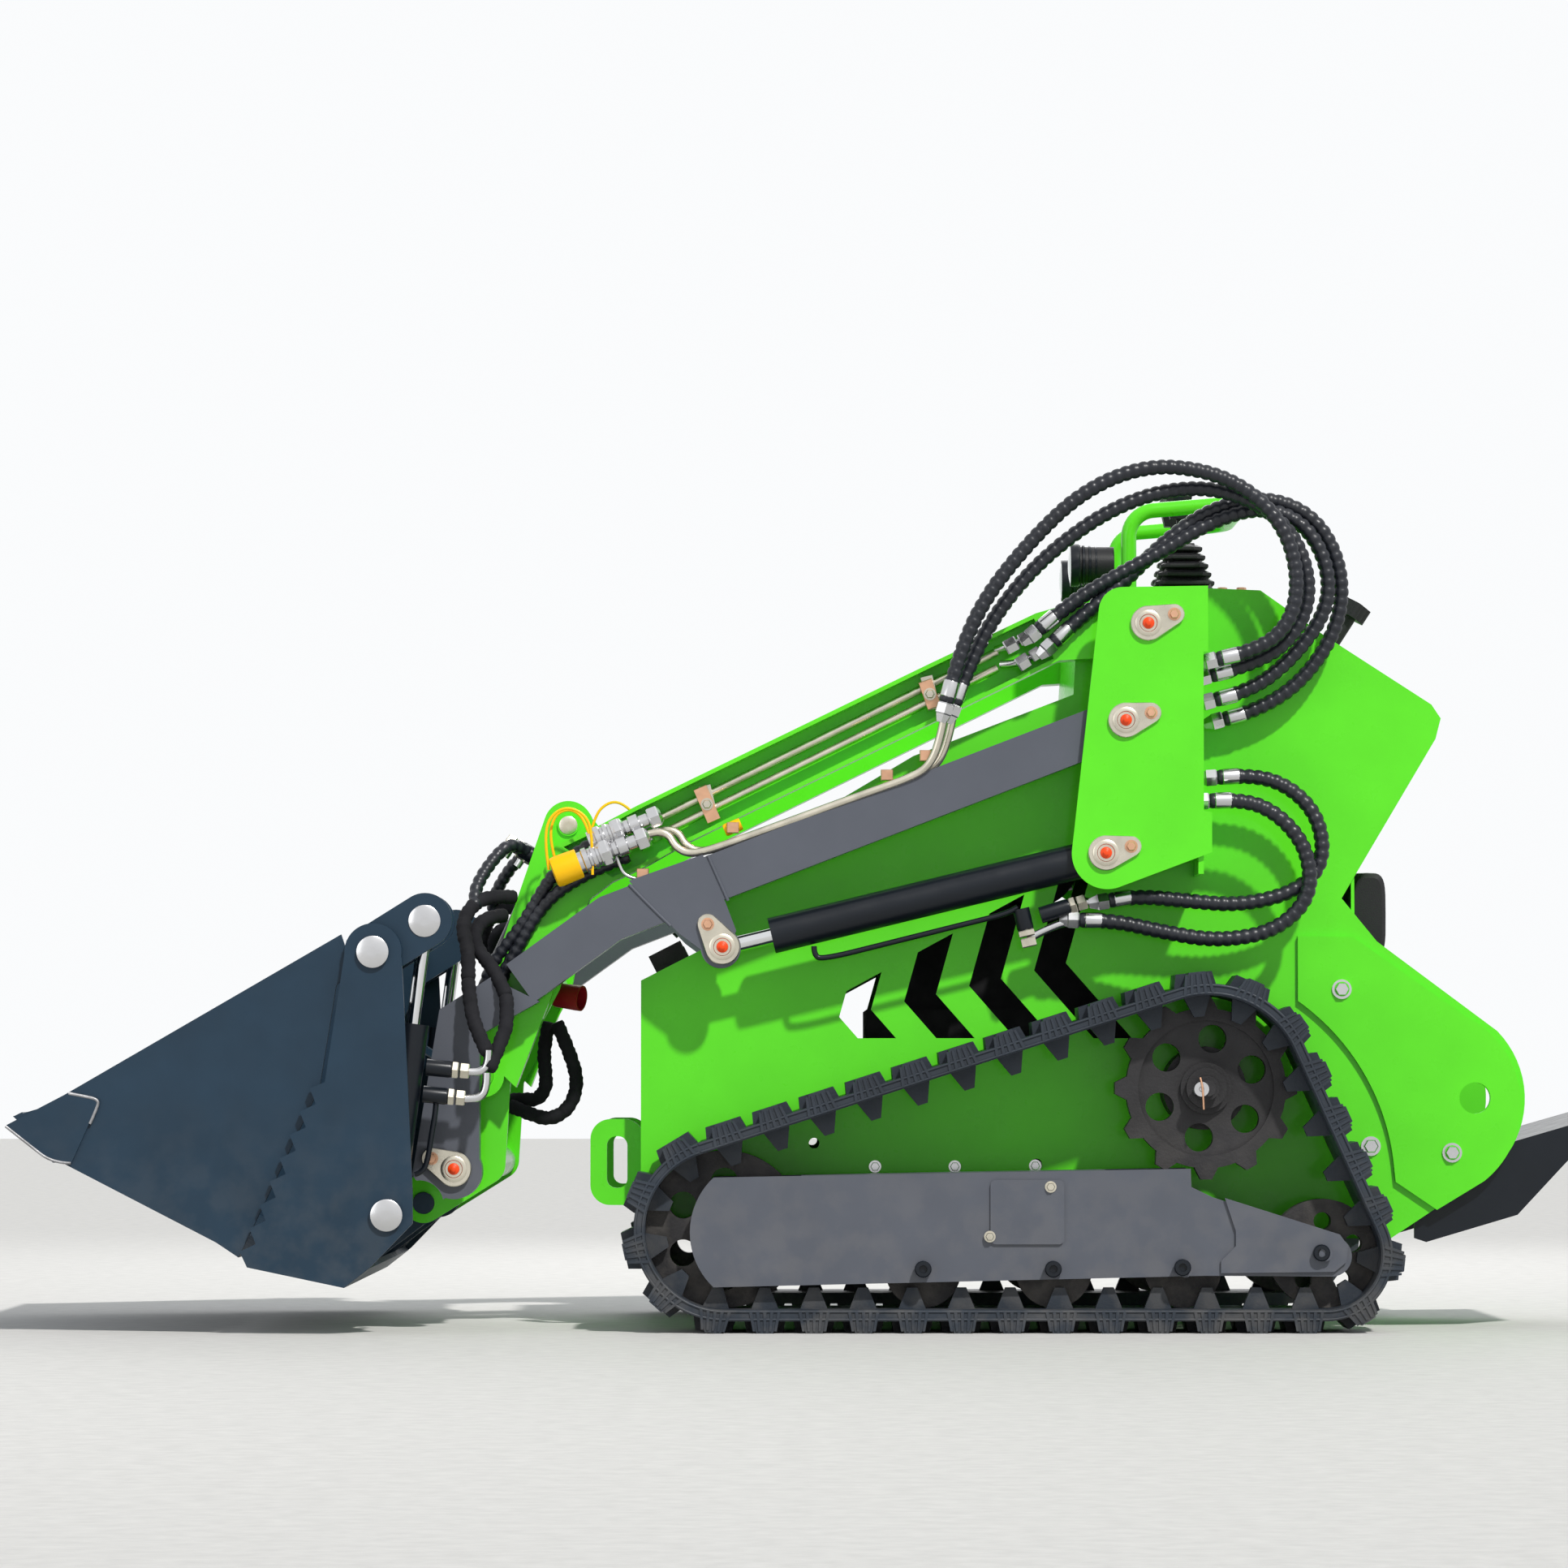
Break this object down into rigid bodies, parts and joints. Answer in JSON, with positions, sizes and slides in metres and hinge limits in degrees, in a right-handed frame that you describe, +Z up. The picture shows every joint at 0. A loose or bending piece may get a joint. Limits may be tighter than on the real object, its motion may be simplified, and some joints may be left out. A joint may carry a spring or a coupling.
{
  "type": "mini skid steer loader",
  "caption": "Stand-on tracked mini skid steer loader with parallel lift arms, tilting clamshell bucket and fold-up operator platform.",
  "frame": {"origin": "on the floor, at the centre of the whole part's box", "axes": "-X to the bucket, +X to the operator, -Y the operator's left, +Z up"},
  "size_m": [2.397, 1.052, 1.2921],
  "materials": {
    "green_paint": "gloss lime green paint",
    "gray_paint": "dark warm gray paint",
    "bucket_paint": "blue-gray paint",
    "black_paint": "satin black paint",
    "rubber": "matt rubber",
    "cast_black": "black coated casting",
    "chrome_rod": "hard chrome",
    "engine": "black coated castings",
    "black_plastic": "matt black rubber and plastic",
    "zinc": "zinc plate"
  },
  "bodies": {
    "chassis": {"body_shell": "green_paint", "controls": "black_plastic", "engine": "engine", "filler": "black_plastic", "hood_stops": "black_plastic", "platform_pins": "zinc", "rear_guard_left": "green_paint", "rear_guard_right": "green_paint", "side_plate_left": "green_paint", "side_plate_right": "green_paint", "thigh_pad": "black_plastic", "tow_loops": "green_paint", "tower_left": "green_paint", "tower_right": "green_paint", "track_frame_left": "gray_paint", "track_frame_right": "gray_paint", "track_left": "rubber", "track_right": "rubber", "wheels_left": "cast_black", "wheels_right": "cast_black", "work_lamps": "black_plastic"},
    "lower_arms": {"lower_arm_left": "gray_paint", "lower_arm_right": "gray_paint"},
    "upper_arms": {"arm_tubes": "zinc", "upper_arm_left": "green_paint", "upper_arm_right": "green_paint"},
    "knuckle": {"knuckle": "green_paint"},
    "lift_barrels": {"lift_barrel_left": "black_paint", "lift_barrel_right": "black_paint"},
    "lift_rods": {"lift_rod_left": "chrome_rod", "lift_rod_right": "chrome_rod"},
    "tilt_barrels": {"tilt_barrel_left": "black_paint", "tilt_barrel_right": "black_paint"},
    "tilt_rods": {"tilt_rod_left": "chrome_rod", "tilt_rod_right": "chrome_rod"},
    "bucket": {"bucket_back": "bucket_paint"},
    "clam": {"clam": "bucket_paint"},
    "clam_barrels": {"clam_barrel_left": "black_paint", "clam_barrel_right": "black_paint"},
    "clam_rods": {"clam_rod_left": "chrome_rod", "clam_rod_right": "chrome_rod"},
    "platform": {"platform": "black_paint"}
  },
  "joints": [
    {"name": "lift", "type": "hinge", "parent": "chassis", "child": "lower_arms", "pos_m": [0.456, 0, 0.911], "axis": [0, 1, 0], "range_deg": [-3, 80]},
    {"name": "upper_link", "type": "hinge", "parent": "chassis", "child": "upper_arms", "pos_m": [0.496, 0, 1.052], "axis": [0, 1, 0], "range_deg": [-3, 80]},
    {"name": "knuckle_level", "type": "hinge", "parent": "lower_arms", "child": "knuckle", "pos_m": [-0.547, 0, 0.238], "axis": [0, 1, 0], "range_deg": [-80, 3]},
    {"name": "lift_barrel_swing", "type": "hinge", "parent": "chassis", "child": "lift_barrels", "pos_m": [0.426, 0, 0.71], "axis": [0, 1, 0], "range_deg": [-3.06, 76.52]},
    {"name": "lift_stroke", "type": "slide", "parent": "lift_barrels", "child": "lift_rods", "axis": [-0.9717, 0, -0.2362], "range_m": [-0.01105, 0.26894]},
    {"name": "tilt", "type": "hinge", "parent": "knuckle", "child": "bucket", "pos_m": [-0.598, 0, 0.188], "axis": [0, -1, 0], "range_deg": [0, 72]},
    {"name": "tilt_barrel_swing", "type": "hinge", "parent": "knuckle", "child": "tilt_barrels", "pos_m": [-0.381, 0, 0.757], "axis": [0, 1, 0], "range_deg": [-0.2, 15.59]},
    {"name": "tilt_stroke", "type": "slide", "parent": "tilt_barrels", "child": "tilt_rods", "axis": [-0.4204, 0, -0.9074], "range_m": [-0.001, 0.16107]},
    {"name": "clam_open", "type": "hinge", "parent": "bucket", "child": "clam", "pos_m": [-0.659, 0, 0.561], "axis": [0, 1, 0], "range_deg": [0, 60]},
    {"name": "clam_barrel_swing", "type": "hinge", "parent": "bucket", "child": "clam_barrels", "pos_m": [-0.64, 0, 0.175], "axis": [0, 1, 0], "range_deg": [-0.2, 3.76]},
    {"name": "clam_stroke", "type": "slide", "parent": "clam_barrels", "child": "clam_rods", "axis": [0.1283, 0, 0.9917], "range_m": [-0.08719, 0.001]},
    {"name": "platform_fold", "type": "hinge", "parent": "chassis", "child": "platform", "pos_m": [0.93, 0, 0.203], "axis": [0, -1, 0], "range_deg": [0, 60]}
  ],
  "couplings": [
    {"joint": "upper_link", "follows": "lift", "ratio": 1},
    {"joint": "knuckle_level", "follows": "lift", "ratio": -1},
    {"joint": "lift_barrel_swing", "follows": "lift", "ratio": 0.95398},
    {"joint": "lift_stroke", "follows": "lift", "m_per_rad": 0.1919},
    {"joint": "tilt_barrel_swing", "follows": "tilt", "ratio": 0.21368},
    {"joint": "tilt_stroke", "follows": "tilt", "m_per_rad": 0.12738},
    {"joint": "clam_barrel_swing", "follows": "clam_open", "ratio": 0.05931},
    {"joint": "clam_stroke", "follows": "clam_open", "m_per_rad": -0.082309}
  ]
}
